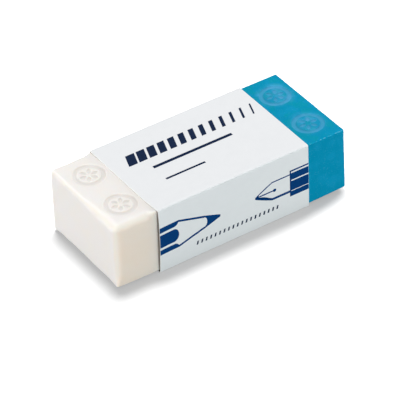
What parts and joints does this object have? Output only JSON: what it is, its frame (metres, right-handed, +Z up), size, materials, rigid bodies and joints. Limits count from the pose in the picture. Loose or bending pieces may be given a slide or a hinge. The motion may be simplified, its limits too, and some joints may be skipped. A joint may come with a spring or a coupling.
{
  "type": "rubber eraser",
  "caption": "Rectangular rubber eraser with a white pencil end and a blue ink end, held in a folded card sleeve that slides along it.",
  "frame": {"origin": "on the underside of the sleeve, below the middle of the whole part's box", "axes": "+X from the white end to the blue end, +Y from the printed front to the plain back, +Z up"},
  "size_m": [0.0434, 0.0194, 0.0123],
  "materials": {
    "white_rubber": "soft matt",
    "blue_rubber": "gritty matt",
    "sleeve_card": "smooth satin coat"
  },
  "bodies": {
    "block": {"white_eraser": "white_rubber", "blue_eraser": "blue_rubber"},
    "sleeve": {"card_sleeve": "sleeve_card"}
  },
  "joints": [
    {"name": "sleeve_slide", "type": "slide", "parent": "block", "child": "sleeve", "axis": [1, 0, 0], "range_m": [-0.00765, 0.00715]}
  ]
}
